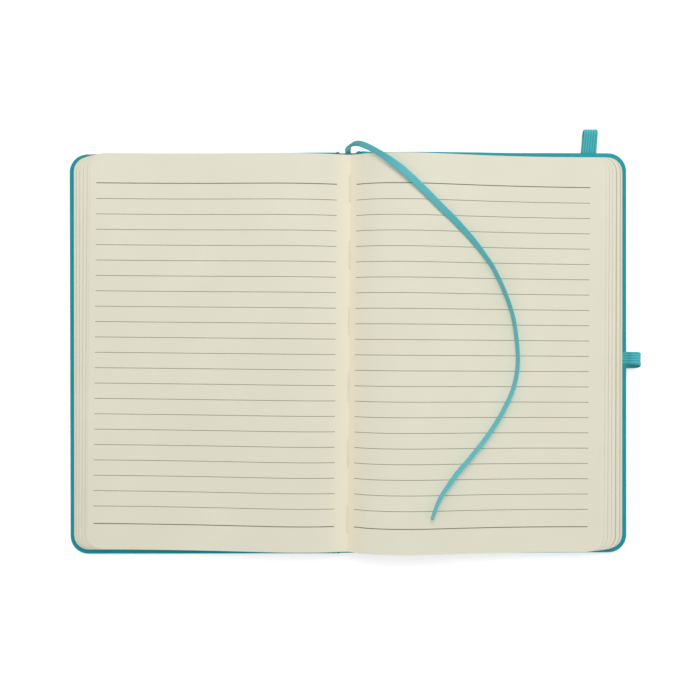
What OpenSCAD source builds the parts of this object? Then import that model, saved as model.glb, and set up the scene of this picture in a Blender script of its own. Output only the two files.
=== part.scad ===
// Open case-bound ruled notebook with a ribbon, an elastic closure and a pen loop.
// It lies open and face up: the front cover is on the left, the back cover on the right.
// The origin is on the table, under the middle of the spine. +Y is the head, +X the back cover.

/* [Cover] */
// How far the cover stands out past the leaves at the head and at the tail
head_margin = 2.5; // [2:0.25:5]
// How far the cover stands out past the leaves at the fore-edge
fore_margin = 2.7; // [2:0.1:5]
// Thickness of each board
board_t = 1.6; // [1.4:0.1:2.4]
// Thickness of the skin that covers the case
skin_t = 0.4; // [0.3:0.05:0.6]
// Width of the skin that is turned in over the boards
turn_in = 14; // [10:1:20]
// Radius of the cover's outer corners
cover_corner_r = 9.5; // [6:0.5:12]
// Thickness of the endpaper that is pasted to each board
paste_t = 0.15; // [0.1:0.05:0.3]
// Margin of the cover that shows around each pasted endpaper
paste_margin = 3; // [2:0.5:5]

/* [Spine] */
// Thickness of the spine strip
spine_t = 1; // [0.6:0.1:1.2]
// Width of each flexible joint, between the spine strip and a board
joint_w = 2.3; // [2.1:0.1:4]
// Thickness of the cloth lining on the back of the leaves
lining_t = 0.3; // [0.2:0.05:0.5]
// How far the lining stops short of the leaves at the head and at the tail
lining_gap = 12.5; // [5:0.5:25]

/* [Leaves] */
// Height of the leaves
page_h = 205; // [180:1:240]
// Width of the leaves, from the side of the spine to the fore-edge
leaf_w = 139; // [120:0.5:155]
// Thickness of the leaves that lie on the front cover
stack_left = 4.9; // [3.5:0.1:8]
// Thickness of the leaves that lie on the back cover
stack_right = 3.5; // [3:0.1:8]
// Extra thickness that the folds and the thread give the spine
swell = 0.6; // [0.4:0.1:1]
// Radius of the leaves' outer corners
page_corner_r = 8.5; // [5:0.5:11]
// How far the upper left leaves stand back from the lower ones at the fore-edge
fan_left = 8.5; // [4:0.5:12]
// How far the upper right leaves stand back from the lower ones at the fore-edge
fan_right = 13; // [6:0.5:16]
// Groups of leaves that step back at each fore-edge
leaf_groups = 5; // [3:1:8]
// How much the left leaves arch up beside the gutter
arch_left = 6; // [2:0.2:9]
// How much the right leaves arch up beside the gutter
arch_right = 11.8; // [4:0.2:13]
// Distance of each arch from the gutter
arch_x = 28; // [20:1:36]
// Depth of the gutter's fold below the leaves beside it
gutter_d = 1; // [0.5:0.1:2]
// Angle by which the top leaves have turned from the cover; the lowest ones lie square on it
skew = 0.55; // [0:0.05:0.8]

/* [Sewing] */
// Radius of the sewing thread
thread_r = 0.3; // [0.2:0.05:0.4]
// Stitches that show along the gutter
stitch_n = 6; // [4:1:9]
// Length of each stitch
stitch_l = 14; // [8:1:18]
// Play between the thread and the leaves on both sides of the gutter
thread_play = 0.08; // [0.05:0.01:0.2]

/* [Elastic closure] */
// Width of the elastic band
band_w = 7.8; // [5:0.1:10]
// Thickness of the elastic band
band_t = 0.85; // [0.6:0.05:1]
// Distance of the band's middle from the cover's fore-edge
band_inset = 19.2; // [14:0.2:30]
// Distance of the band's slits from the cover's head and tail
slit_inset = 12; // [9:0.5:18]
// How far the slack band stands out past the head
band_reach = 13; // [8:0.5:18]
// Radius at which the slack band turns back
band_turn_r = 1.8; // [1.5:0.1:2.4]
// Length of each end of the band that is glued to the board
band_end_l = 16; // [10:1:24]
// Play around each strap in its slits and pockets, and between its two layers
strap_play = 0.1; // [0.05:0.05:0.2]

/* [Pen loop] */
// Width of the pen loop's strap
loop_w = 6.6; // [5:0.2:9]
// Thickness of the pen loop's strap
loop_t = 0.7; // [0.5:0.05:0.8]
// Radius of the loop, to the middle of its strap
loop_r = 3.3; // [3.2:0.05:3.4]
// Distance of the loop's middle from the cover's mid height, towards the tail
loop_drop = 3.9; // [0:0.1:60]

/* [Ribbon] */
// Width of the ribbon
ribbon_w = 3.6; // [3:0.1:5]
// Thickness of the ribbon
ribbon_t = 0.6; // [0.4:0.1:0.8]

/* [Hidden] */
$fn = 64;

// The spine is as wide as the leaves' back, and each cover turns at the middle of its joint
spine_w = stack_left + stack_right + swell;
hinge_x = spine_w / 2 + joint_w / 2;
board_x = spine_w / 2 + joint_w;
fore_x = spine_w / 2 + leaf_w;
edge_x = fore_x + fore_margin;
cover_h = page_h + 2 * head_margin;
board_h = cover_h - 2 * skin_t;
board_corner_r = cover_corner_r - skin_t;

// Levels of one cover, from its outside up
board_z = skin_t;
turn_z = board_z + board_t;
rim_z = turn_z + skin_t;
paste_z = rim_z + paste_t;

// Levels of the spine
lining_z = skin_t + spine_t;
back_z = lining_z + lining_t;

// The band doubled under the back cover tips that cover up about its joint
band_x = edge_x - band_inset;
band_low_z = -1.5 * band_t - strap_play;
tip = asin((band_t / 2 - band_low_z) / (band_x - band_w / 2 - hinge_x));
band_turn_from = 115;

// Half width of the gutter's V, and the level of the fold at its bottom
gutter_x = 2.8;
gutter_z = paste_z - gutter_d
    + min(stack_left + lift(gutter_x, arch_left), stack_right + lift(gutter_x, arch_right));

// The strap's two ends meet at this level, let into the board under the turned-in skin
loop_z = rim_z - loop_t - strap_play / 2;
loop_x = edge_x + loop_r + loop_t / 2;
loop_end_l = turn_in - 2;
loop_mouth = 38;
loop_layer = (loop_t + strap_play) / 2;

inner_corner_r = 1;
arch_steps = 22;
cut = 1;

// The ribbon's route, from the head of the spine over the right leaves: across from the gutter,
// up from the head of the leaves, and above the flat stack
ribbon_route = [[0.5, 0.1, -2.05], [0.5, 2, -0.55], [0, 3.5, 2.95],
    [0.5, 4.5, 6.45], [3.5, 5, 9.95], [8.5, 3.5, 12.45], [13.5, 0.5, 13.95],
    [19, -3, 13.95], [23.5, -6, 13.45], [28, -9.5, 12.95], [33.5, -15, 12.95],
    [38, -19.5, 12.45], [48.5, -29.5, 10.95], [59, -39.5, 9.45],
    [67.5, -49.5, 7.95], [75, -60, 6.95], [80, -70, 6.45], [84, -83, 5.95],
    [86.5, -96, 5.45], [87, -108.5, 5.45], [85, -120.5, 5.95], [80, -132, 6.45],
    [73.5, -142, 6.95], [65.5, -152.5, 7.95], [58.5, -160.5, 8.95],
    [51.5, -168, 10.45], [47, -175, 10.95], [44, -182, 11.45], [42, -187.5, 11.45]];
ribbon_sides = 8;
ribbon_rings = 2;

// Height of the top leaf above the flat stack, at a distance from the gutter
function lift(x, arch) =
    let (u = x / arch_x)
    arch * pow(u * exp(1 - u), x < arch_x ? 0.6 : 1.2);

// Points on an arc, in degrees
function arc(centre, r, from, to, steps) =
    [for (i = [0 : steps])
        let (a = from + (to - from) * i / steps)
        centre + r * [cos(a), sin(a)]];

// Unit vector
function unit(v) = v / norm(v);

// Mitred direction across a path at one of its points
function across(path, i) =
    let (last = len(path) - 1,
        a = unit(path[max(i, 1)] - path[max(i, 1) - 1]),
        b = unit(path[min(i + 1, last)] - path[min(i, last - 1)]),
        n = [-a[1] - b[1], a[0] + b[0]])
    n * 2 / (n * n);

// Outline of a strap of thickness t that follows a path
function strap_outline(path, t) = concat(
    [for (i = [0 : len(path) - 1]) path[i] + across(path, i) * t / 2],
    [for (i = [len(path) - 1 : -1 : 0]) path[i] - across(path, i) * t / 2]);

// Point on the smooth curve through a route, t of the way from point i to the next
function on_route(route, i, t) =
    let (last = len(route) - 1,
        a = route[max(i - 1, 0)],
        b = route[i],
        c = route[min(i + 1, last)],
        d = route[min(i + 2, last)])
    (2 * b + (c - a) * t + (2 * a - 5 * b + 4 * c - d) * t * t
        + (3 * b - a - 3 * c + d) * t * t * t) / 2;

// Tips its children up about the back cover's joint, as the doubled band does
module tipped() {
    translate([hinge_x, 0, 0]) rotate([0, -tip, 0]) translate([-hinge_x, 0, 0]) children();
}

// Lies at one level, from z up by t
module sheet(z, t) {
    translate([0, 0, z]) linear_extrude(t) children();
}

// Half of a page or cover, from x0 to x1, with its outer corners rounded
module half_plan(x0, x1, h, r) {
    translate([x0, -h / 2]) square([x1 - x0 - r, h]);
    translate([x0, -h / 2 + r]) square([x1 - x0, h - 2 * r]);
    for (side = [-1, 1]) translate([x1 - r, side * (h / 2 - r)]) circle(r);
}

module cover_plan(x0, inset) {
    half_plan(x0, edge_x - inset, cover_h - 2 * inset, max(cover_corner_r - inset, inner_corner_r));
}

// Pocket in the back board and its turned-in skin for the two ends of the pen loop
module loop_pocket() {
    pocket_z = loop_z - loop_layer - loop_t / 2;
    translate([edge_x - loop_end_l, -loop_drop - loop_w / 2 - strap_play, pocket_z])
        cube([loop_end_l + cut, loop_w + 2 * strap_play, rim_z - pocket_z + cut]);
}

// Slits that the elastic band passes through, up to a level
module band_slits(top) {
    for (side = [-1, 1])
        translate([band_x - band_w / 2 - strap_play,
                side * (cover_h / 2 - slit_inset) - band_t / 2 - strap_play, -cut])
            cube([band_w + 2 * strap_play, band_t + 2 * strap_play, top + cut]);
}

// Pockets in the board's inner face for the two glued ends of the elastic band
module band_pockets() {
    for (side = [0, 1]) mirror([0, side, 0])
        translate([band_x - band_w / 2 - strap_play,
                cover_h / 2 - slit_inset - band_end_l - strap_play, turn_z - band_t])
            cube([band_w + 2 * strap_play, band_end_l + 2 * strap_play, band_t + cut]);
}

module board() {
    sheet(board_z, board_t)
        half_plan(board_x, edge_x - skin_t, board_h, board_corner_r);
}

// Outer face of the skin, its edges round the board, and the part turned in over it
module cover_skin() {
    difference() {
        sheet(0, rim_z) cover_plan(hinge_x, 0);
        sheet(board_z, board_t) cover_plan(hinge_x - cut, skin_t);
        sheet(turn_z - cut, skin_t + 2 * cut) cover_plan(hinge_x - cut, turn_in);
        sheet(board_z, rim_z) translate([hinge_x - cut, -cover_h / 2 - cut])
            square([board_x - hinge_x + cut, cover_h + 2 * cut]);
    }
}

// Pasted endpaper, down on the board in the middle and up over the turned-in skin
module endpaper() {
    difference() {
        sheet(turn_z, skin_t + paste_t) cover_plan(board_x, paste_margin);
        sheet(turn_z - cut, skin_t + cut) difference() {
            cover_plan(board_x - cut, -cut);
            cover_plan(board_x - 2 * cut, turn_in);
        }
        sheet(turn_z + paste_t, skin_t + cut) cover_plan(board_x - cut, turn_in + paste_t);
    }
}

// Leaves on one side of the gutter, in steps at the fore-edge, the top ones arched and turned
module half_block(stack, arch, fan, turn) {
    for (k = [1 : leaf_groups - 1]) {
        step = (k - 1) / (leaf_groups - 1);
        sheet(paste_z, stack * k / leaf_groups) rotate(turn * step)
            half_plan(gutter_x, fore_x - fan * step, page_h, page_corner_r);
    }
    top_x = fore_x - fan;
    rotate(turn) intersection() {
        sheet(0, paste_z + stack + arch + cut) half_plan(0, top_x, page_h, page_corner_r);
        translate([0, page_h, 0]) rotate([90, 0, 0]) linear_extrude(2 * page_h)
            polygon(concat(
                [[0, gutter_z], [0, paste_z], [top_x, paste_z]],
                [for (i = [arch_steps : -1 : 0])
                    let (x = gutter_x + (top_x - gutter_x) * pow(i / arch_steps, 1.5))
                    [x, paste_z + stack + lift(x, arch)]]));
    }
}

module front_board() color("burlywood") mirror([1, 0, 0]) board();

module back_board() color("burlywood") tipped() difference() {
    board();
    band_slits(turn_z + cut);
    band_pockets();
    loop_pocket();
}

module spine_strip() color("tan")
    translate([-spine_w / 2, -board_h / 2, skin_t]) cube([spine_w, board_h, spine_t]);

module front_cover_skin() color("darkcyan") mirror([1, 0, 0]) cover_skin();

module spine_skin() color("darkcyan")
    translate([-hinge_x, -cover_h / 2, 0]) cube([2 * hinge_x, cover_h, skin_t]);

// Tipped, and then trimmed to meet the end of the spine's skin
module back_cover_skin() color("darkcyan") difference() {
    tipped() difference() {
        cover_skin();
        band_slits(turn_z - band_t);
        loop_pocket();
    }
    translate([-hinge_x, -cover_h / 2 - cut, -cut])
        cube([2 * hinge_x, cover_h + 2 * cut, rim_z + 2 * cut]);
}

module front_endpaper() color("oldlace") mirror([1, 0, 0]) endpaper();

module back_endpaper() color("oldlace") tipped() endpaper();

// The leaves are sewn and glued into one block that sits askew on the spine
module page_block() color("cornsilk") {
    mirror([1, 0, 0]) half_block(stack_left, arch_left, fan_left, skew);
    rotate(-skew) translate([-spine_w / 2, -page_h / 2, back_z])
        cube([spine_w, page_h, gutter_z - back_z]);
    tipped() half_block(stack_right, arch_right, fan_right, -skew);
}

module spine_lining() color("gainsboro") rotate(-skew)
    translate([-spine_w / 2, lining_gap - page_h / 2, lining_z])
        cube([spine_w, page_h - 2 * lining_gap, lining_t]);

// Stitches along the fold, resting in the gutter's V
module sewing_thread() color("ivory") rotate(-skew) {
    wall = atan2(gutter_x, paste_z + stack_right + lift(gutter_x, arch_right) - gutter_z);
    pitch = page_h / stitch_n;
    for (i = [0 : stitch_n - 1])
        translate([0, pitch * (i + 0.5) - page_h / 2, gutter_z + (thread_r + thread_play) / sin(wall)])
            rotate([90, 0, 0]) cylinder(h = stitch_l, r = thread_r, center = true, $fn = 24);
}

// One strap: glued inside at the head, out past the head, back under the cover, in at the tail
module elastic_band() color("mediumturquoise") tipped() {
    half = cover_h / 2;
    slit_y = half - slit_inset;
    end_z = turn_z - band_t / 2;
    path = concat(
        [[slit_y - band_end_l, end_z], [slit_y, end_z], [slit_y, -band_t / 2],
            [half, -band_t / 2]],
        arc([half + band_reach - band_turn_r - band_t / 2, band_low_z + band_turn_r],
            band_turn_r, band_turn_from, -90, 16),
        [[-slit_y, band_low_z], [-slit_y, end_z], [-slit_y + band_end_l, end_z]]);
    translate([band_x - band_w / 2, 0, 0]) rotate([90, 0, 90]) linear_extrude(band_w)
        polygon(strap_outline(path, band_t));
}

// One strap, both ends let into the board's inner face, in a round loop past the fore-edge
module pen_loop() color("lightseagreen") tipped() {
    x0 = edge_x - loop_end_l;
    bend_x = edge_x + loop_t / 2;
    path = concat(
        [[x0, loop_z - loop_layer], [bend_x, loop_z - loop_layer]],
        arc([loop_x, loop_z], loop_r, -180 + loop_mouth, 180 - loop_mouth, 24),
        [[bend_x, loop_z + loop_layer], [x0, loop_z + loop_layer]]);
    translate([0, loop_w / 2 - loop_drop, 0]) rotate([90, 0, 0]) linear_extrude(loop_w)
        polygon(strap_outline(path, loop_t));
}

// Flat ribbon swept along its route, its width level across the leaves
module ribbon() color("turquoise") translate([0, page_h / 2, paste_z + stack_right]) {
    spans = len(ribbon_route) - 1;
    points = [
        for (i = [0 : spans - 1])
            for (k = [0 : ribbon_rings - 1]) on_route(ribbon_route, i, k / ribbon_rings),
        ribbon_route[spans]];
    last = len(points) - 1;
    rings = [for (i = [0 : last])
        let (along = points[min(i + 1, last)] - points[max(i - 1, 0)],
            side = unit(cross(along, [0, 0, 1])),
            up = unit(cross(side, along)))
        for (k = [0 : ribbon_sides - 1])
            let (a = 360 * k / ribbon_sides)
            points[i] + side * ribbon_w / 2 * cos(a) + up * ribbon_t / 2 * sin(a)];
    walls = [for (i = [0 : last - 1])
        for (k = [0 : ribbon_sides - 1])
            let (m = (k + 1) % ribbon_sides,
                a = i * ribbon_sides,
                b = a + ribbon_sides)
            each [[a + k, b + k, b + m], [a + k, b + m, a + m]]];
    ends = [[for (k = [0 : ribbon_sides - 1]) k],
        [for (k = [ribbon_sides - 1 : -1 : 0]) last * ribbon_sides + k]];
    polyhedron(rings, concat(walls, ends));
}

front_board();
back_board();
spine_strip();
front_cover_skin();
spine_skin();
back_cover_skin();
front_endpaper();
back_endpaper();
page_block();
spine_lining();
sewing_thread();
elastic_band();
pen_loop();
ribbon();
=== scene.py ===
import math
import random

import bpy
import bmesh
from mathutils import Matrix, Vector


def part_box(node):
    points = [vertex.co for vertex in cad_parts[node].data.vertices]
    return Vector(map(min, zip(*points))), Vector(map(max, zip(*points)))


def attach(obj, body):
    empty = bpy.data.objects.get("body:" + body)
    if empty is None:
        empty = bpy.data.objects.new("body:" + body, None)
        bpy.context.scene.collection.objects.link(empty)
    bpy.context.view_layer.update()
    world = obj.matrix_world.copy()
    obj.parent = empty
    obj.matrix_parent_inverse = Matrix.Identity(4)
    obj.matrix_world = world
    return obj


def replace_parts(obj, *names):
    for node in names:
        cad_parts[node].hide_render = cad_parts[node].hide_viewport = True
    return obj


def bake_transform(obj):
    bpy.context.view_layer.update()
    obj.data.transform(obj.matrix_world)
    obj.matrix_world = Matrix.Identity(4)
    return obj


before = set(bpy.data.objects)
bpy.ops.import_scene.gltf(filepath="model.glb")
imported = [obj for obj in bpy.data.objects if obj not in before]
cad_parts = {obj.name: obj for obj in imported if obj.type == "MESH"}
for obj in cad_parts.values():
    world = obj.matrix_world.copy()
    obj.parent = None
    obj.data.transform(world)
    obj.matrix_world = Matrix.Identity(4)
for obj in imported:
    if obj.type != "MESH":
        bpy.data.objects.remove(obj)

print("frame loaded")
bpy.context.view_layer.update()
mm = 0.001


# Camera, as the photo was taken: nearly straight down, a little left of the spine
camera = {
    "place": (-5.08, 3.31, 470.0),      # millimetres
    "turn": (-0.178, -0.708, -0.086),   # degrees about X, Y and Z
    "lens": 45.74,
    "sensor": 36.0,
}

camData = bpy.data.cameras.new("photoCamera")
camData.lens = camera["lens"]
camData.sensor_width = camera["sensor"]
camData.clip_start = 0.01
camObject = bpy.data.objects.new("photoCamera", camData)
camObject.location = [v * mm for v in camera["place"]]
camObject.rotation_euler = [math.radians(v) for v in camera["turn"]]
bpy.context.scene.collection.objects.link(camObject)
bpy.context.scene.camera = camObject


# Sizes that the pieces share, in millimetres, read off the solids where they give them
def boxOf(node):
    low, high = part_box(node)
    return [v / mm for v in low], [v / mm for v in high]


skinLow, skinHigh = boxOf("front_cover_skin")
boardLow, boardHigh = boxOf("front_board")
stripLow, stripHigh = boxOf("spine_strip")
backHigh = boxOf("back_cover_skin")[1]
case = {
    "halfHeight": skinHigh[1],
    "edgeX": -skinLow[0],
    "hingeX": -skinHigh[0],
    "boardX": -boardHigh[0],
    "spineHalf": stripHigh[0],
    "skin": boardLow[2],
    "turnZ": boardHigh[2],
    "rimZ": skinHigh[2],
    "cornerR": 9.5,
    "turnIn": 14.0,
}
case["tip"] = math.asin((backHigh[2] - case["rimZ"]) / (case["edgeX"] - case["hingeX"]))


# The back cover and its leaves are tipped up about their joint by the doubled elastic
def tipped(p):
    dx = p[0] - case["hingeX"]
    c, s = math.cos(case["tip"]), math.sin(case["tip"])
    return (case["hingeX"] + dx * c - p[2] * s, p[1], dx * s + p[2] * c)


def mirrored(p):
    return (-p[0], p[1], p[2])


# One mesh object from points in millimetres
def makePiece(name, points, faces, materials, body, faceMats=None, uvs=None):
    mesh = bpy.data.meshes.new(name)
    mesh.from_pydata([[v * mm for v in p] for p in points], [], faces)
    for m in materials:
        mesh.materials.append(m)
    if faceMats:
        for poly, index in zip(mesh.polygons, faceMats):
            poly.material_index = index
    if uvs:
        layer = mesh.uv_layers.new(name="uv")
        for loop in mesh.loops:
            layer.data[loop.index].uv = uvs[loop.vertex_index]
    work = bmesh.new()
    work.from_mesh(mesh)
    bmesh.ops.remove_doubles(work, verts=work.verts, dist=1e-7)
    bmesh.ops.dissolve_degenerate(work, edges=work.edges, dist=1e-7)
    bmesh.ops.recalc_face_normals(work, faces=work.faces)
    for face in work.faces:
        face.smooth = True
    work.to_mesh(mesh)
    work.free()
    piece = bpy.data.objects.new(name, mesh)
    bpy.context.scene.collection.objects.link(piece)
    if body:
        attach(piece, body)
    return piece


def applyModifiers(piece):
    graph = bpy.context.evaluated_depsgraph_get()
    done = bpy.data.meshes.new_from_object(piece.evaluated_get(graph))
    piece.modifiers.clear()
    piece.data = done


# Quads between rows of points that are counted alike
def gridFaces(rows, columns, start=0, closed=False):
    faces = []
    last = columns if closed else columns - 1
    for i in range(rows - 1):
        for j in range(last):
            a = start + i * columns + j
            b = start + i * columns + (j + 1) % columns
            faces.append((a, b, b + columns, a + columns))
    return faces


# Materials
def srgb(r, g, b):
    def linear(v):
        v /= 255
        return v / 12.92 if v <= 0.04045 else ((v + 0.055) / 1.055) ** 2.4
    return (linear(r), linear(g), linear(b), 1.0)


class Shader:
    def __init__(self, name, roughness, specular=0.5, sheen=0.0):
        self.mat = bpy.data.materials.new(name)
        self.mat.use_nodes = True
        self.tree = self.mat.node_tree
        self.bsdf = self.tree.nodes["Principled BSDF"]
        self.bsdf.inputs["Roughness"].default_value = roughness
        self.bsdf.inputs["Specular IOR Level"].default_value = specular
        if sheen:
            self.bsdf.inputs["Sheen Weight"].default_value = sheen
        self.coords = self.add("ShaderNodeTexCoord")

    def add(self, kind, **settings):
        node = self.tree.nodes.new(kind)
        for key, value in settings.items():
            setattr(node, key, value)
        return node

    def link(self, a, b):
        self.tree.links.new(a, b)

    # A texture read in object space, or on the piece's own strap coordinates
    def texture(self, kind, scale, onStrap=False, stretch=(1, 1, 1), **settings):
        node = self.add(kind, **settings)
        spread = self.add("ShaderNodeMapping")
        spread.inputs["Scale"].default_value = stretch
        self.link(self.coords.outputs["UV" if onStrap else "Object"], spread.inputs["Vector"])
        self.link(spread.outputs["Vector"], node.inputs["Vector"])
        node.inputs["Scale"].default_value = scale
        return node

    # Colour between two shades, by a texture's value
    def shades(self, source, low, high, bounds=(0.3, 0.7)):
        ramp = self.add("ShaderNodeValToRGB")
        ramp.color_ramp.elements[0].position = bounds[0]
        ramp.color_ramp.elements[1].position = bounds[1]
        ramp.color_ramp.elements[0].color = low
        ramp.color_ramp.elements[1].color = high
        self.link(source, ramp.inputs["Fac"])
        return ramp.outputs["Color"]

    def colour(self, output):
        self.link(output, self.bsdf.inputs["Base Color"])

    # Adds a layer of relief, its depth in millimetres
    def relief(self, source, depth, strength=1.0):
        bump = self.add("ShaderNodeBump")
        bump.inputs["Distance"].default_value = depth * mm
        bump.inputs["Strength"].default_value = strength
        self.link(source, bump.inputs["Height"])
        normal = self.bsdf.inputs["Normal"]
        if normal.links:
            self.link(normal.links[0].from_socket, bump.inputs["Normal"])
        self.link(bump.outputs["Normal"], normal)

    def roughBy(self, source, low, high):
        spread = self.add("ShaderNodeMapRange")
        spread.inputs["To Min"].default_value = low
        spread.inputs["To Max"].default_value = high
        self.link(source, spread.inputs["Value"])
        self.link(spread.outputs["Result"], self.bsdf.inputs["Roughness"])


finishes = {
    "cover": (8, 156, 170),
    "coverDeep": (6, 146, 160),
    "paper": (229, 227, 208),
    "paperWarm": (226, 223, 202),
    # painted light: the lower leaves' paper, a slightly lighter copy of the page paper to brighten the
    # stacked leaf edges
    "paintedLightInnerPaper": (231, 229, 210),
    "paintedLightInnerPaperWarm": (228, 225, 205),
    # painted light: lighter, warmer tone along the gutter of the top leaves, for light thrown back
    # between the facing pages
    "fold": (238, 230, 205),
    # painted shade: darker strip along each lower leaf's cut edge, for the shade between the groups of
    # leaves at the fore-edge
    "paintedEdgeShade": (186, 182, 161),
    "ink": (138, 133, 114),
    "inkHeavy": (104, 100, 84),
    "pasted": (226, 222, 204),
    "board": (168, 152, 128),
    "elastic": (92, 208, 214),
    # painted shade: tone of the elastic in the hollows of its weave
    "elasticPaintedShade": (36, 152, 163),
    "ribbon": (112, 212, 219),
    # painted shade: tone of the ribbon in the hollows of its weave
    "ribbonPaintedShade": (70, 176, 186),
    "thread": (244, 240, 226),
    "lining": (222, 217, 202),
    "liningDeep": (190, 184, 168),
}


# Soft-touch imitation leather: a fine pebble over a softer unevenness
def coverFinish():
    s = Shader("softTouchCover", 0.5, 0.25)
    pebble = s.texture("ShaderNodeTexVoronoi", 1500)
    cloud = s.texture("ShaderNodeTexNoise", 90)
    cloud.inputs["Detail"].default_value = 5
    s.colour(s.shades(cloud.outputs["Fac"], srgb(*finishes["coverDeep"]),
                      srgb(*finishes["cover"])))
    s.relief(pebble.outputs["Distance"], 0.05, 0.6)
    s.relief(cloud.outputs["Fac"], 0.12, 0.35)
    s.roughBy(cloud.outputs["Fac"], 0.46, 0.6)
    return s.mat


# Uncoated paper: short fibres and a faint mottle; towards u = 0 it blends into a painted tone: painted
# light along the gutter on the top leaves, painted shade along each cut edge on the lower leaves
def paperFinish(name, light, warm, depth=0.02, edge=None, reach=1.0):
    s = Shader(name, 0.88, 0.25)
    mottle = s.texture("ShaderNodeTexNoise", 35)
    mottle.inputs["Detail"].default_value = 8
    fibre = s.texture("ShaderNodeTexNoise", 900, stretch=(1, 0.35, 1))
    fibre.inputs["Detail"].default_value = 6
    tone = s.shades(mottle.outputs["Fac"], srgb(*finishes[warm]), srgb(*finishes[light]))
    if edge:
        across = s.add("ShaderNodeSeparateXYZ")
        near = s.add("ShaderNodeMapRange", interpolation_type="SMOOTHSTEP")
        near.inputs["From Max"].default_value = reach
        near.inputs["To Min"].default_value = 1.0
        near.inputs["To Max"].default_value = 0.0
        blend = s.add("ShaderNodeMix", data_type="RGBA")
        blend.inputs["B"].default_value = srgb(*finishes[edge])
        s.link(s.coords.outputs["UV"], across.inputs["Vector"])
        s.link(across.outputs["X"], near.inputs["Value"])
        s.link(near.outputs["Result"], blend.inputs["Factor"])
        s.link(tone, blend.inputs["A"])
        tone = blend.outputs["Result"]
    s.colour(tone)
    s.relief(fibre.outputs["Fac"], depth, 0.5)
    return s.mat


# Printing ink soaks in unevenly
def inkFinish(name, tone):
    s = Shader(name, 0.85, 0.25)
    soak = s.texture("ShaderNodeTexNoise", 1400)
    light = [min(255, v + 10) for v in finishes[tone]]
    s.colour(s.shades(soak.outputs["Fac"], srgb(*finishes[tone]), srgb(*light)))
    return s.mat


# Grey board: pulp with darker flecks
def boardFinish():
    s = Shader("greyBoard", 0.9, 0.2)
    flecks = s.texture("ShaderNodeTexNoise", 420)
    flecks.inputs["Detail"].default_value = 7
    dark = [v - 26 for v in finishes["board"]]
    s.colour(s.shades(flecks.outputs["Fac"], srgb(*dark), srgb(*finishes["board"])))
    s.relief(flecks.outputs["Fac"], 0.05, 0.6)
    return s.mat


# Woven finishes run along the strap: u counts along it and v across it, in millimetres; the colour
# darkens in the hollows of the weave, painted shade
def wovenFinish(name, light, paintedShade, pick, end, roughness, sheen, depth):
    s = Shader(name, roughness, 0.4, sheen)
    picks = s.texture("ShaderNodeTexWave", 1.0, True, (pick, 0, 0), wave_type="BANDS",
                      bands_direction="X", wave_profile="SIN")
    ends = s.texture("ShaderNodeTexWave", 1.0, True, (0, end, 0), wave_type="BANDS",
                     bands_direction="Y", wave_profile="SIN")
    both = s.add("ShaderNodeMath", operation="MULTIPLY")
    s.link(picks.outputs["Fac"], both.inputs[0])
    s.link(ends.outputs["Fac"], both.inputs[1])
    s.colour(s.shades(both.outputs["Value"], srgb(*finishes[paintedShade]), srgb(*finishes[light]),
                      (0.0, 0.55)))
    s.relief(both.outputs["Value"], depth, 0.7)
    return s.mat


def liningFinish():
    s = Shader("liningCloth", 0.9, 0.2, 0.1)
    weave = s.texture("ShaderNodeTexBrick", 700)
    s.colour(s.shades(weave.outputs["Fac"], srgb(*finishes["lining"]),
                      srgb(*finishes["liningDeep"])))
    s.relief(weave.outputs["Fac"], 0.08, 0.6)
    return s.mat


coverMat = coverFinish()
# top leaves: painted light along the gutter
paperMat = paperFinish("creamPaper", "paper", "paperWarm", edge="fold", reach=11.0)
# lower leaves: a lighter copy of the paper as painted light, and painted shade along each cut edge
innerMat = paperFinish("paintedLightInnerPaper", "paintedLightInnerPaper", "paintedLightInnerPaperWarm", edge="paintedEdgeShade", reach=0.22)
pastedMat = paperFinish("pastedPaper", "pasted", "paperWarm", 0.03)
inkMat = inkFinish("ruleInk", "ink")
heavyInkMat = inkFinish("heavyRuleInk", "inkHeavy")
boardMat = boardFinish()
# the elastic, pen loop, ribbon and thread take painted shade in the hollows of their weave; the
# thread's painted shade is the paper's tone
elasticMat = wovenFinish("ribbedElastic", "elastic", "elasticPaintedShade", 0.55, 0.242, 0.75, 0.2, 0.1)
ribbonMat = wovenFinish("satinRibbon", "ribbon", "ribbonPaintedShade", 0.9, 0.6, 0.45, 0.2, 0.04)
threadMat = wovenFinish("sewingThread", "thread", "paper", 0.6, 0.6, 0.8, 0.2, 0.03)
liningMat = liningFinish()
print("materials made")


# Leaves. The solids give the outline; every leaf here is a sheet of its own
leaves = {
    "height": 205.0,
    "foreX": case["spineHalf"] + 139.0,
    "pasteZ": case["rimZ"] + 0.15,
    "foldZ": 1.9,            # folds of the lowest leaves, on the spine's lining
    "gutterZ": 10.4,         # fold of the top sheet
    "gutterReach": 9.0,      # distance over which a leaf rises from its fold
    "archX": 28.0,
    "cornerR": 7.6,
    "skew": 0.57,            # degrees, at the gutter
    "shift": 0.1,            # towards the head
    "sheet": 0.07,           # thickness of one leaf
    "cockle": 0.035,         # how far the top sheet waves
    "waves": (17, 41, 23),   # how long its waves are: across, along, and the slower one along
    "calm": 20,              # distance from the gutter within which it lies quieter
    "turnReach": 40.0,       # distance over which a leaf's skew goes over to its side's own
    "tipReach": 8.0,         # distance over which the right leaves take on the back cover's tip
    "archRise": 0.6,         # how steeply the arch starts, as a power
    "archFall": 1.2,         # how steeply it ends
    "within": 0.35,          # share of its group's arch that a leaf gains inside the group
    "foldSlope": 0.85,       # steepness at the fold
    "lowShare": 0.12,        # share of the skew that the lowest leaves have
    "jitter": 0.06,          # how far a leaf may lie off its place
    "cornerTurns": (0, 18, 36, 52, 66, 78, 90),
    "rows": [-60.0, -20.0, 20.0, 60.0],
    "columns": 24,
    "topColumns": 60,
    "crowding": 1.7,         # how the columns crowd towards the fold, as a power
    "ends": [0.35, 0.7, 1.0],    # the last columns, as shares of the corner's width
    "crease": 35,            # degrees; sharper edges are shown sharp
}
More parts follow.
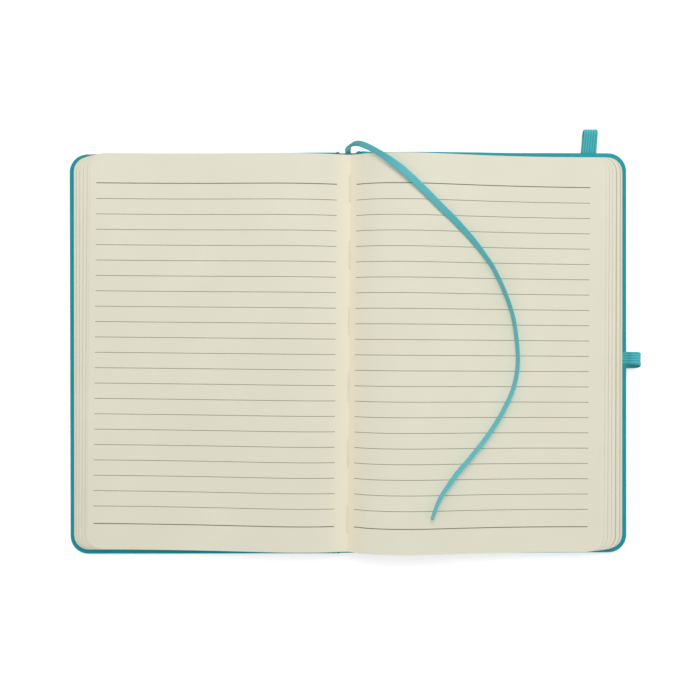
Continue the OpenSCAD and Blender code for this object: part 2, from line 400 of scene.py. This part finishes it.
# steps: how far each group of leaves stands back from the lowest at the fore-edge;
# tops: where each group ends in its stack; slants: how far its own leaves fan out
sides = {
    "Left": {"seed": 11, "stack": 4.9, "arch": 6.0, "skew": 0.63, "leaves": 42, "rules": (6.9, 131.5),
             "steps": (0.0, 1.6, 3.4, 5.4, 7.3, 8.6), "tops": (0.3, 0.54, 0.7, 0.83, 0.93, 1.0),
             "slants": (0.05, 0.2, 0.2, 0.1, 0.05, 0.05)},
    "Right": {"seed": 12, "stack": 3.5, "arch": 11.8, "skew": 0.5, "leaves": 35, "rules": (3.3, 125.0),
              "steps": (0.0, 1.1, 3.4, 6.0, 7.9, 9.9, 12.1),
              "tops": (0.3, 0.56, 0.72, 0.8, 0.88, 0.95, 1.0),
              "slants": (0.05, 0.6, 0.75, 0.1, 0.1, 0.05, 0.05)},
}
ruling = {
    "first": 87.05,          # heading line, from the middle of the leaf
    "second": 78.95,
    "pitch": 7.96,
    "count": 21,             # lines between the first and the last
    "last": -89.3,
    "width": 0.34,
    "heavy": 0.45,
}


# Height that a leaf gains by arching, at a distance from the gutter
def archHeight(x, arch):
    u = max(x, 0.0) / leaves["archX"]
    return arch * (u * math.exp(1 - u)) ** (leaves["archRise"] if u < 1 else leaves["archFall"])


# A point turned clockwise about the origin
def turnedBack(x, y, turn):
    return x * math.cos(turn) + y * math.sin(turn), -x * math.sin(turn) + y * math.cos(turn)


# Lays a point of a leaf on its side of the case; share tells how far its skew has grown
def placeLeaf(p, side, share):
    x, y, z = p
    far = min(x / leaves["turnReach"], 1.0)
    turn = share * math.radians(leaves["skew"] + (side["skew"] - leaves["skew"]) * far)
    if side is sides["Left"]:
        return (-x * math.cos(turn) + y * math.sin(turn), x * math.sin(turn) + y * math.cos(turn), z)
    turned = (*turnedBack(x, y, turn), z)
    near = max(1 - x / leaves["tipReach"], 0.0)
    return tuple(a * near + b * (1 - near) for a, b in zip(turned, tipped(turned)))


# How high the folds lie on the arched back of the leaves, at a distance from its middle
def foldHeight(x):
    across = min(x / case["spineHalf"], 1.0)
    return leaves["foldZ"] + (leaves["gutterZ"] - leaves["foldZ"]) * (1 - across * across)


# Section of one leaf; f goes from 0 at the lowest to 1 at the top
def leafSection(side, f):
    steps, tops = side["steps"], side["tops"]
    groups = len(steps)
    group = sum(f > top for top in tops[:-1])
    foot = tops[group - 1] if group else 0.0
    within = (f - foot) / (tops[group] - foot)
    inner = leaves["within"]
    spread = (foot + inner * (f - foot)) / (tops[-2] + inner * (1 - tops[-2]))
    x0 = case["spineHalf"] * (1 - f)
    x1 = leaves["foreX"] - steps[group] - side["slants"][group] * within
    z0 = foldHeight(x0)

    def flat(x):
        return leaves["pasteZ"] + side["stack"] * f + archHeight(x, side["arch"]) * spread

    joined = x0 + leaves["gutterReach"]
    rise = flat(joined) - z0
    start = leaves["foldSlope"] * rise
    end = (flat(joined + 0.1) - flat(joined)) * 10 * leaves["gutterReach"]

    def height(x):
        if x >= joined:
            return flat(x)
        t = (x - x0) / leaves["gutterReach"]
        return (z0 + start * t + (3 * rise - 2 * start - end) * t * t
                + (start + end - 2 * rise) * t ** 3)
    low = leaves["lowShare"]
    return x0, x1, height, low + (1 - low) * group / (groups - 1)


# Rows across a leaf, from tail to head, close together round the corners
def leafRows(between):
    half, r = leaves["height"] / 2, leaves["cornerR"]
    turn = [half - r + r * math.sin(math.radians(a)) for a in leaves["cornerTurns"]]
    return [-y for y in reversed(turn)] + between + turn


# Where a row of a leaf ends, round its outer corners
def leafReach(y, x1):
    half, r = leaves["height"] / 2, leaves["cornerR"]
    over = max(abs(y) - (half - r), 0)
    return x1 - r + math.sqrt(max(r * r - over * over, 0))


# Points of one leaf; stops are columns that have to be there, wave is its cockling
def leafPoints(side, f, rows, columns, stops=(), wave=0.0, shift=(0.0, 0.0)):
    x0, x1, height, share = leafSection(side, f)
    x1 += shift[0]
    bend = x1 - leaves["cornerR"]
    xs = [x0 + (bend - x0) * (j / columns) ** leaves["crowding"] for j in range(columns + 1)]
    xs += [x for x in stops if x < bend]
    ends = leaves["ends"] + [(x - bend) / (x1 - bend) for x in stops if x > bend]
    a, b, c = leaves["waves"]
    points, uvs = [], []
    for y in rows:
        reach = leafReach(y, x1)
        across = sorted(xs) + [bend + (reach - bend) * part for part in sorted(ends)]
        for x in across:
            ripple = wave * math.sin(x / a + y / b) * math.sin(y / c + 1) * min(1, x / leaves["calm"])
            p = (x, y + shift[1] + leaves["shift"], height(x) + ripple)
            points.append(placeLeaf(p, side, share))
            uvs.append((x if stops else reach - x, y))
    return points, uvs, len(across)


# All the leaves under the top one
def makeLeaves(name, side):
    rng = random.Random(side["seed"])
    rows = leafRows(leaves["rows"])
    play = leaves["jitter"]
    points, faces, uvs = [], [], []
    for k in range(side["leaves"]):
        f = (k + 0.5) / (side["leaves"] + 0.5)
        shift = (rng.uniform(-play, play), rng.uniform(-play, play))
        some, someUvs, width = leafPoints(side, f, rows, leaves["columns"], shift=shift)
        faces += gridFaces(len(rows), width, len(points))
        points += some
        uvs += someUvs
    piece = makePiece("leaves" + name, points, faces, [innerMat], "spine", uvs=uvs)
    return thickened(piece)


# Gives sheets their thickness
def thickened(piece):
    solid = piece.modifiers.new("thickness", "SOLIDIFY")
    solid.thickness = leaves["sheet"] * mm
    solid.offset = 0
    applyModifiers(piece)
    piece.data.set_sharp_from_angle(angle=math.radians(leaves["crease"]))
    return piece


# The top leaf, with its printed rules as faces of their own
def makeTopPage(name, side):
    r = ruling
    rules = [(r["first"], r["heavy"], 2), (r["last"], r["heavy"], 2)]
    rules += [(r["second"] - r["pitch"] * i, r["width"], 1) for i in range(r["count"])]
    edges = sorted(y + half * width / 2 for y, width, ink in rules for half in (-1, 1))
    gaps = [(edges[i] + edges[i + 1]) / 2 for i in range(1, len(edges) - 1, 2)]
    rows = leafRows(sorted(edges + gaps))
    points, uvs, width = leafPoints(side, 1.0, rows, leaves["topColumns"], side["rules"],
                                    leaves["cockle"])
    faces = gridFaces(len(rows), width)
    faceMats = []
    for face in faces:
        x = sum(uvs[v][0] for v in face) / 4
        y = sum(uvs[v][1] for v in face) / 4
        inks = [ink for ruleY, ruleWidth, ink in rules if abs(y - ruleY) < ruleWidth / 3]
        faceMats.append(inks[0] if inks and side["rules"][0] < x < side["rules"][1] else 0)
    piece = makePiece("topPage" + name, points, faces, [paperMat, inkMat, heavyInkMat], "spine",
                      faceMats, uvs)
    return thickened(piece)


for sideName, side in sides.items():
    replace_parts(makeLeaves(sideName, side), "page_block")
    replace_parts(makeTopPage(sideName, side), "page_block")

# Cloth lining, glued along the arched back of the leaves
lining = {
    "length": 180.0,
    "thick": 0.3,
    "gap": 0.12,             # glue between the leaves and the cloth
    "lowest": 1.45,          # the cloth's ends rest on the spine strip
    "steps": 24,
}


def makeLining():
    turn = math.radians(leaves["skew"])
    steps, halfLength = lining["steps"], lining["length"] / 2
    points = []
    for y in (-halfLength, halfLength):
        for under in (lining["gap"], lining["gap"] + lining["thick"]):
            for k in range(steps + 1):
                x = case["spineHalf"] * (2 * k / steps - 1)
                slope = 2 * x / case["spineHalf"] ** 2 * (leaves["gutterZ"] - leaves["foldZ"])
                level = math.hypot(1, slope)
                px, pz = x - under * slope / level, foldHeight(abs(x)) - under / level
                points.append((*turnedBack(px, y, turn), max(pz, lining["lowest"])))
    n = steps + 1
    faces = []
    for k in range(steps):
        faces += [(k, k + 1, n + k + 1, n + k), (2 * n + k, 3 * n + k, 3 * n + k + 1, 2 * n + k + 1),
                  (k, 2 * n + k, 2 * n + k + 1, k + 1), (n + k, n + k + 1, 3 * n + k + 1, 3 * n + k)]
    faces += [(0, n, 3 * n, 2 * n), (n - 1, 3 * n - 1, 4 * n - 1, 2 * n - 1)]
    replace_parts(makePiece("liningArch", points, faces, [liningMat], "spine"), "spine_lining")


makeLining()
print("leaves made")


# Covering of one board: round edges and the turned-in margin
cover = {
    "edgePoints": 18,
    "cornerPoints": 10,
    "forePoints": 60,
    "roundSteps": 8,
    "crowding": 1.5,         # how the edge's points crowd towards the spine, as a power
    "leastR": 0.6,           # corner radius that no loop falls below
    "rim": 2.0,              # flat of the rim, past the round of the edge
    "turnDown": (0.3, 0.1),  # bevel where the turned-in skin ends
    "bowPower": 12,          # the bow fades this fast away from the edge
    # how far the head and tail edges stand out, at distances from the middle of the spine
    "headBow": [(-146, -0.3), (-110, 0.0), (-58, 0.4), (-10, 0.9), (-7, 0.9), (-5.5, 1.3), (-4, 0.7),
                (1, 0.7), (3.4, 0.8), (5, 1.6), (8.5, 1.6), (13, 1.2), (40, 1.25), (60, 0.95),
                (90, 0.45), (146, 0.2)],
    "tailBow": [(-146, 0.0), (-50, 0.25), (0, 0.35), (50, 0.25), (146, 0.0)],
}


# Moves a point near the head or tail out by the bow of that edge
def bowed(p):
    x, y, z = p
    table = cover["headBow"] if y > 0 else cover["tailBow"]
    k = max(i for i in range(len(table) - 1) if i == 0 or x >= table[i][0])
    (xa, bowA), (xb, bowB) = table[k], table[k + 1]
    t = min(max((x - xa) / (xb - xa), 0.0), 1.0)
    fade = abs(y / case["halfHeight"]) ** cover["bowPower"]
    out = (bowA + (bowB - bowA) * t * t * (3 - 2 * t)) * fade
    return (x, y + (out if y > 0 else -out), z)


# The three outer sides of a board, tail, fore-edge and head, set in by some distance
def uOutline(inset):
    edge, half = case["edgeX"] - inset, case["halfHeight"] - inset
    r = max(case["cornerR"] - inset, cover["leastR"])
    x0 = case["boardX"]
    n, c, m = cover["edgePoints"], cover["cornerPoints"], cover["forePoints"]
    line = [(x0 + (edge - r - x0) * (i / n) ** cover["crowding"], -half) for i in range(n)]
    for i in range(c):
        a = math.pi / 2 * i / c
        line.append((edge - r + r * math.sin(a), -half + r - r * math.cos(a)))
    line += [(edge, -half + r + (2 * half - 2 * r) * i / m) for i in range(m + 1)]
    return line + [(x, -y) for x, y in reversed(line[:n + c])]


# The skin of one board, as loops from the outside round the edge to the turned-in margin
def makeCover(name, place, body, node):
    edgeR, rim, skin, turnIn = case["rimZ"] / 2, case["rimZ"], case["skin"], case["turnIn"]
    bevel, drop = cover["turnDown"]
    loops = [(turnIn, 0.0), (edgeR + cover["rim"], 0.0)]
    for i in range(cover["roundSteps"] + 1):
        a = -math.pi / 2 + math.pi * i / cover["roundSteps"]
        loops.append((edgeR - edgeR * math.cos(a), edgeR + edgeR * math.sin(a)))
    loops += [(edgeR + cover["rim"], rim), (turnIn - bevel, rim), (turnIn, rim - drop),
              (turnIn, case["turnZ"]), (skin, case["turnZ"]), (skin, skin), (turnIn, skin)]
    points = []
    for inset, z in loops:
        points += [(x, y, z) for x, y in uOutline(inset)]
    columns = len(uOutline(0))
    faces = gridFaces(len(loops), columns)
    for start, flip in ((0, False), ((len(loops) - 1) * columns, True)):
        faces += fillInside(points, start, columns, flip)
    tail = tuple(r * columns for r in range(len(loops)))
    head = tuple(v + columns - 1 for v in reversed(tail))
    shape = [bowed(place(p)) for p in points]
    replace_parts(makePiece(name, shape, faces + [tail, head], [coverMat], body), node)


# Fills the inside of a U-shaped loop with rows that join its tail side to its head side
def fillInside(points, start, columns, flip):
    depth = cover["edgePoints"] + cover["cornerPoints"]
    m = cover["forePoints"]
    rows = []
    for i in range(depth):
        a, b = start + i, start + columns - 1 - i
        row = [a]
        for k in range(1, m):
            t = k / m
            row.append(len(points))
            points.append(tuple(points[a][c] * (1 - t) + points[b][c] * t for c in range(3)))
        rows.append(row + [b])
    rows.append([start + depth + k for k in range(m + 1)])
    faces = []
    for lower, upper in zip(rows, rows[1:]):
        for k in range(m):
            quad = (lower[k], lower[k + 1], upper[k + 1], upper[k])
            faces.append(tuple(reversed(quad)) if flip else quad)
    return faces


makeCover("coverSkinFront", mirrored, "front_cover", "front_cover_skin")
makeCover("coverSkinBack", tipped, "back_cover", "back_cover_skin")

# Spine and the two flexible joints: the same sheet, puckered up in each joint as the case lies open
spine = {
    "ridge": 1.5,            # height of the pucker in each joint
    "hem": 8.0,              # skin turned in at the head and tail of the spine
    "overlap": 0.1,          # how far the spine's skin laps over each joint
    "columns": 10,
    "rows": 30,
    "hemRows": (0.15, 0.6),  # rows that round off each end
    "endThick": 0.35,        # share of the thickness at the very end
    "endRound": 0.6,         # distance over which it grows to the whole
    "lap": (0.05, 0.4),      # how far a joint reaches under the spine's skin and the cover's
    "ridgeSteps": 16,
    "ridgeSpan": 0.85,       # share of the joint that the pucker takes up
}


# A strip of skin with a given section, doubled over at head and tail
def makeStrip(name, section, body):
    half = case["halfHeight"]
    ys = [-half + 2 * half * i / spine["rows"] for i in range(spine["rows"] + 1)]
    hemmed = [-half + v for v in (*spine["hemRows"], spine["hem"])]
    ys = sorted(ys + hemmed + [-y for y in hemmed])
    points = []
    count = len(section)
    for y in ys:
        inFromEnd = half - abs(y)
        thick = case["skin"] * (2.0 if inFromEnd < spine["hem"] else 1.0)
        thick *= min(1.0, spine["endThick"] + inFromEnd / spine["endRound"])
        for x, z in section:
            points.append(bowed((x, y, z + max(0.0, case["skin"] - thick) / 2)))
        for x, z in reversed(section):
            points.append(bowed((x, y, z + thick)))
    faces = gridFaces(len(ys), 2 * count, closed=True)
    last = (len(ys) - 1) * 2 * count
    faces += [tuple(range(2 * count)), tuple(range(last + 2 * count - 1, last - 1, -1))]
    return makePiece(name, points, faces, [coverMat], body)


spineEnd = case["spineHalf"] + spine["overlap"]
flat = [(-spineEnd + 2 * spineEnd * i / spine["columns"], 0.0) for i in range(spine["columns"] + 1)]
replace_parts(makeStrip("spineSkin", flat, "spine"), "spine_skin")


# Section of a joint, puckered up beside the spine strip
def ridgeSection(sign):
    section = []
    start, end = case["spineHalf"] - spine["lap"][0], case["boardX"] + spine["lap"][1]
    for i in range(spine["ridgeSteps"] + 1):
        t = i / spine["ridgeSteps"]
        x = start + (end - start) * t
        lift = spine["ridge"] * math.sin(math.pi * min(t / spine["ridgeSpan"], 1.0)) ** 2
        section.append((sign * x, lift))
    return section


for strip, sign, body in (("jointFront", -1, "front_cover"), ("jointBack", 1, "back_cover")):
    piece = makeStrip(strip, ridgeSection(sign), None)
    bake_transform(piece)
    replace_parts(piece, "spine_skin")
print("covers made")


# Straps and the ribbon: a section swept along a path, its width held to a given direction
def sweep(points, sideways, outline):
    rows, uvs = [], []
    along = 0.0
    lastIndex = len(points) - 1
    for i, p in enumerate(points):
        before, after = points[max(i - 1, 0)], points[min(i + 1, lastIndex)]
        tangent = (after - before).normalized()
        side = sideways(i, tangent)
        side = (side - tangent * side.dot(tangent)).normalized()
        up = side.cross(tangent)
        if i:
            along += (p - points[i - 1]).length
        for a, b in outline(i):
            rows.append(tuple(p + side * a + up * b))
            uvs.append((along, a))
    return rows, uvs


# Faces of a swept strap, closed at both ends
def capped(rowCount, columns):
    faces = gridFaces(rowCount, columns, closed=True)
    last = (rowCount - 1) * columns
    return faces + [tuple(range(columns)), tuple(range(last + columns - 1, last - 1, -1))]


# Section of a flat woven strap with raised ribs along both faces
def ribbedOutline(width, thickness, ribs, relief, ribSteps=6, leastEdge=0.02):
    steps = ribs * ribSteps
    top = []
    for k in range(steps + 1):
        t = k / steps
        edge = min(t, 1 - t) * width
        half = thickness / 2 * min(1.0, math.sqrt(max(edge, leastEdge) / (thickness / 2)))
        bump = relief * (0.5 - 0.5 * math.cos(2 * math.pi * ribs * t)) - relief
        top.append((-width / 2 + width * t, half + bump))
    return top + [(a, -b) for a, b in reversed(top)]


# A smooth curve through the points of a route
def smoothPath(route, steps):
    path = []
    last = len(route) - 1
    for i in range(last):
        a, b = route[max(i - 1, 0)], route[i]
        c, d = route[i + 1], route[min(i + 2, last)]
        for k in range(steps):
            t = k / steps
            path.append((2 * b + (c - a) * t + (2 * a - 5 * b + 4 * c - d) * t * t
                         + (3 * b - a - 3 * c + d) * t ** 3) / 2)
    return path + [route[last]]


# Points on an arc, its angles in degrees
def arcPoints(centre, r, start, end, steps):
    found = []
    for i in range(steps + 1):
        a = math.radians(start + (end - start) * i / steps)
        found.append((centre[0] + r * math.cos(a), centre[1] + r * math.sin(a)))
    return found


# Elastic closure: glued in at the head slit, round its bight past the head, in at the tail slit
elastic = {
    "width": 7.8,
    "thick": 0.85,
    "x": case["edgeX"] - 19.2,
    "slit": 12.0,            # distance of each slit from the head or the tail
    "reach": 13.0,           # how far the bight stands out past the head
    "turnR": 1.8,
    "turn": (115, -90),      # degrees, start and end of the bight's turn
    "turnSteps": 14,
    "end": 16.0,             # length glued in the board's pocket
    "play": 0.1,
    "bend": 0.5,             # where it turns in a slit
    "underZ": -0.42,         # middle of the layer next to the cover
    "ribs": 6,
    "relief": 0.17,
    "lean": 0.045,           # sideways lean of the bight
    "narrowing": 0.09,       # share of its width that it loses at the bight
}


def makeElastic():
    e = elastic
    half = case["halfHeight"]
    slit = half - e["slit"]
    endZ = case["turnZ"] - e["thick"] / 2
    lowZ = -1.5 * e["thick"] - e["play"]
    bend, underZ = e["bend"], e["underZ"]
    centre = (half + e["reach"] - e["turnR"] - e["thick"] / 2, lowZ + e["turnR"])
    path = [(slit - e["end"], endZ), (slit - bend, endZ), (slit, endZ - bend), (slit, 0.1)]
    path += [(slit + bend, underZ), (slit + 5, underZ), (half - 2, underZ), (half + 1, 0.0)]
    path += arcPoints(centre, e["turnR"], *e["turn"], e["turnSteps"])
    path += [(y, lowZ) for y in range(105, -90, -8)]
    path += [(-slit + bend, lowZ), (-slit, lowZ + bend), (-slit, endZ - bend), (-slit + bend, endZ),
             (-slit + e["end"], endZ)]
    points = [Vector((e["x"], y, z)) for y, z in path]
    full = ribbedOutline(e["width"], e["thick"], e["ribs"], e["relief"])

    def outline(i):
        past = max(points[i].y - half, 0) / e["reach"]
        return [(a * (1 - e["narrowing"] * past), b) for a, b in full]

    for point in points:
        point.x += e["lean"] * max(point.y - half, 0)
    rows, uvs = sweep(points, lambda i, t: Vector((1, 0, 0)), outline)
    piece = makePiece("elasticBand", [tipped(p) for p in rows], capped(len(points), len(full)),
                      [elasticMat], "back_cover", uvs=uvs)
    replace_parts(piece, "elastic_band")


# Pen loop: both ends let into the board, the upper layer a little nearer the head
penLoop = {
    "width": 6.6,
    "thick": 0.7,
    "r": 3.3,
    "y": -3.7,
    "offset": 1.1,           # half the distance between the layers' middles
    "lift": 0.2,             # how far the strap stands proud of the cover's margin
    "end": 12.0,             # length let into the board
    "mouth": 38.0,           # degrees, half the opening towards the cover
    "ringSteps": 28,
    "neck": 0.6,             # where the two layers meet, inside the cover's edge
    "dip": (2.5, 3.4),       # where the upper layer sinks below the skin
    "sink": 0.1,             # how far it then lies below it
    "straight": 4.0,         # where the lower layer's last bend starts
    "play": 0.1,
    "ribs": 5,
    "relief": 0.08,
}


def makePenLoop():
    p = penLoop
    edge = case["edgeX"]
    midZ = case["rimZ"] - p["thick"] - p["play"] / 2 + p["lift"]
    layer = (p["thick"] + p["play"]) / 2
    centre = (edge + p["r"] + p["thick"] / 2, midZ)
    neck, low, high = edge - p["neck"], midZ - layer, midZ + layer
    sunk = high - (p["lift"] + p["sink"])
    path = [(edge - p["end"], low), (edge - p["straight"], low), (neck, low)]
    path += arcPoints(centre, p["r"], -180 + p["mouth"], 180 - p["mouth"], p["ringSteps"])
    path += [(neck, high), (edge - p["dip"][0], high), (edge - p["dip"][1], sunk)]
    path += [(edge - p["end"], sunk)]
    route = [Vector((x, 0.0, z)) for x, z in path]
    last = len(route) - 1
    for i, point in enumerate(route):
        t = min(max((i - 2) / (last - 4) * 2 - 0.5, 0.0), 1.0)
        point.y = p["y"] + p["offset"] * (2 * t * t * (3 - 2 * t) - 1)
    section = ribbedOutline(p["width"], p["thick"], p["ribs"], p["relief"])
    rows, uvs = sweep(route, lambda i, t: Vector((0, 1, 0)), lambda i: section)
    piece = makePiece("penLoop", [tipped(v) for v in rows], capped(len(route), len(section)),
                      [elasticMat], "back_cover", uvs=uvs)
    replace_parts(piece, "pen_loop")


makeElastic()
makePenLoop()
print("straps made")


# Ribbon marker, up out of the spine and over the right leaves, in millimetres
ribbon = {
    "width": 3.7,
    "thick": 0.28,
    "steps": 5,              # path points for each point of the route
    "across": (-1, -0.97, -0.6, -0.2, 0.2, 0.6, 0.97, 1),
    "selvedge": 0.4,         # share of the thickness at both edges
    "exit": (0.5, 102.6, 4.0),
    "route": [(-0.2, 96, 7.5), (-0.2, 103.4, 6), (-0.3, 104.4, 9.4), (-0.3, 105.3, 12.2),
              (0.4, 106.4, 12.7), (1.6, 107.2, 13), (3.5, 107.7, 13.6), (5.8, 107.3, 15.2),
              (8.8, 105.8, 17.2), (11.8, 104, 18.8), (14.8, 102.1, 19.7), (18.3, 99.8, 20.3),
              (21.8, 97.3, 20.5), (25.9, 94.3, 20.5), (30.1, 90.7, 20.4), (35.3, 85.9, 20),
              (41.6, 79.9, 19.2), (47.6, 74, 18.4), (54, 68, 17.4), (59.8, 62, 16.5),
              (65.1, 56, 15.8), (69.8, 49.9, 15.3), (74.1, 43.8, 14.7), (80.1, 31.6, 14),
              (84.4, 19.2, 13.5), (86.4, 6.9, 13.3), (87, -5.5, 13.2), (84.7, -17.8, 13.4),
              (79, -30.1, 14), (71.1, -42.3, 14.9), (61.2, -54.4, 16.3), (55.8, -60.4, 17.1),
              (51.3, -66.4, 17.9), (47, -72.4, 18.7), (44.1, -78.4, 19.2), (42, -84.3, 19.5)],
    # how far it is turned on edge at each point of the route, in degrees
    "roll": [-28, -30, -30, -42, -74, -74, -60, -50, -45, -45, -45, -38, -26, -16, -12, -18, -22,
             -28, -34, -41, -49, -58, -63, -67, -69, -69, -69, -67, -65, -63, -64, -62, -61, -68,
             -72, -76],
}


def makeRibbon():
    r = ribbon
    path = smoothPath([Vector(p) for p in r["route"]], r["steps"])

    def rollAt(i):
        k, t = divmod(i / r["steps"], 1)
        k = int(k)
        nextRoll = r["roll"][min(k + 1, len(r["roll"]) - 1)]
        return math.radians(r["roll"][k] * (1 - t) + nextRoll * t)

    def sideways(i, tangent):
        level = tangent.cross(Vector((0, 0, 1))).normalized()
        return Matrix.Rotation(-rollAt(i), 3, tangent) @ level

    half, thin = r["width"] / 2, r["thick"] / 2
    section = [(half * a, thin * (r["selvedge"] if abs(a) == 1 else 1)) for a in r["across"]]
    section += [(a, -b) for a, b in reversed(section)]
    rows, uvs = sweep(path, sideways, lambda i: section)
    piece = makePiece("ribbonMarker", rows, capped(len(path), len(section)), [ribbonMat], "spine",
                      uvs=uvs)
    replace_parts(piece, "ribbon")


makeRibbon()

# Stitches of two-ply thread along the fold
stitches = {
    "radius": 0.3,
    "length": 14.0,
    "count": 6,
    "twist": 2.4,            # length of one turn of the ply
    "plyPlace": 0.45,        # middle and radius of each ply, as shares of the radius
    "plyR": 0.55,
    "lift": 1.2,             # height above the fold, in radii
    "steps": 60,
    "sides": 8,
}


def makeThread():
    s = stitches
    pitch = leaves["height"] / s["count"]
    turn = math.radians(leaves["skew"])
    points, faces, uvs = [], [], []
    z = leaves["gutterZ"] + s["lift"] * s["radius"]
    out, r = s["radius"] * s["plyPlace"], s["radius"] * s["plyR"]
    angles = [2 * math.pi * m / s["sides"] for m in range(s["sides"])]
    ring = [(r * math.cos(b), r * math.sin(b)) for b in angles]
    for n in range(s["count"]):
        middle = pitch * (n + 0.5) - leaves["height"] / 2
        for ply in (0, math.pi):
            line = []
            for k in range(s["steps"] + 1):
                y = middle - s["length"] / 2 + s["length"] * k / s["steps"]
                a = 2 * math.pi * (y - middle) / s["twist"] + ply
                x = out * math.cos(a)
                line.append(Vector((*turnedBack(x, y, turn), z + out * math.sin(a))))
            rows, rowUvs = sweep(line, lambda i, t: Vector((1, 0, 0)), lambda i: ring)
            start = len(points)
            faces += [tuple(v + start for v in face) for face in capped(len(line), s["sides"])]
            points += rows
            uvs += rowUvs
    piece = makePiece("stitches", points, faces, [threadMat], "spine", uvs=uvs)
    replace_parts(piece, "sewing_thread")


makeThread()

# Solids that stay as they are get their finish here
for node, mat in (("front_board", boardMat), ("back_board", boardMat), ("spine_strip", boardMat),
                  ("front_endpaper", pastedMat), ("back_endpaper", pastedMat)):
    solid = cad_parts[node]
    solid.data.materials.clear()
    solid.data.materials.append(mat)
print("ribbon, thread and carried solids done")


# Studio: white floor that keeps the shadow, and a broad soft light from the head
studio = {
    "floorSize": 6.0,
    "floorZ": -0.0001,
    "floorWhite": (240, 240, 241),
    "floorGlow": 0.44,
    "sky": 0.62,
    "keyPower": 9.0,
    "keySize": 0.9,
    "keyPlace": (0.22, 0.75, 1.15),
}


# The floor glows for the camera, in reflections and through clear things, but lights nothing
def makeFloor():
    size, z = studio["floorSize"] / 2, studio["floorZ"]
    mesh = bpy.data.meshes.new("floor")
    mesh.from_pydata([(-size, -size, z), (size, -size, z), (size, size, z), (-size, size, z)], [],
                     [(0, 1, 2, 3)])
    floor = bpy.data.objects.new("floor", mesh)
    bpy.context.scene.collection.objects.link(floor)
    mat = bpy.data.materials.new("whiteFloor")
    mat.use_nodes = True
    tree = mat.node_tree
    bsdf = tree.nodes["Principled BSDF"]
    bsdf.inputs["Base Color"].default_value = srgb(*studio["floorWhite"])
    bsdf.inputs["Roughness"].default_value = 0.9
    bsdf.inputs["Specular IOR Level"].default_value = 0.1
    bsdf.inputs["Emission Color"].default_value = (1, 1, 1, 1)
    rays = tree.nodes.new("ShaderNodeLightPath")
    seen, both, glow = [tree.nodes.new("ShaderNodeMath") for _ in range(3)]
    seen.operation = "ADD"
    seen.use_clamp = True
    both.operation = "MAXIMUM"
    glow.operation = "MULTIPLY"
    glow.inputs[1].default_value = studio["floorGlow"]
    tree.links.new(rays.outputs["Is Camera Ray"], seen.inputs[0])
    tree.links.new(rays.outputs["Is Glossy Ray"], seen.inputs[1])
    tree.links.new(seen.outputs[0], both.inputs[0])
    tree.links.new(rays.outputs["Is Transmission Ray"], both.inputs[1])
    tree.links.new(both.outputs[0], glow.inputs[0])
    tree.links.new(glow.outputs[0], bsdf.inputs["Emission Strength"])
    mesh.materials.append(mat)


def makeSky():
    world = bpy.data.worlds.new("sky")
    bpy.context.scene.world = world
    world.use_nodes = True
    tree = world.node_tree
    background = tree.nodes["Background"]
    background.inputs["Color"].default_value = (1.0, 1.0, 1.0, 1)
    rays = tree.nodes.new("ShaderNodeLightPath")
    level = tree.nodes.new("ShaderNodeMapRange")
    level.inputs["To Min"].default_value = studio["sky"]
    level.inputs["To Max"].default_value = 1.0
    tree.links.new(rays.outputs["Is Camera Ray"], level.inputs["Value"])
    tree.links.new(level.outputs["Result"], background.inputs["Strength"])


def makeKey():
    light = bpy.data.lights.new("keyLight", "AREA")
    light.shape = "SQUARE"
    light.size = studio["keySize"]
    light.energy = studio["keyPower"]
    lamp = bpy.data.objects.new("keyLight", light)
    lamp.location = studio["keyPlace"]
    lamp.rotation_euler = (-lamp.location).to_track_quat("-Z", "Y").to_euler()
    bpy.context.scene.collection.objects.link(lamp)


makeFloor()
makeSky()
makeKey()
bpy.context.scene.view_settings.view_transform = "Standard"
print("studio made")
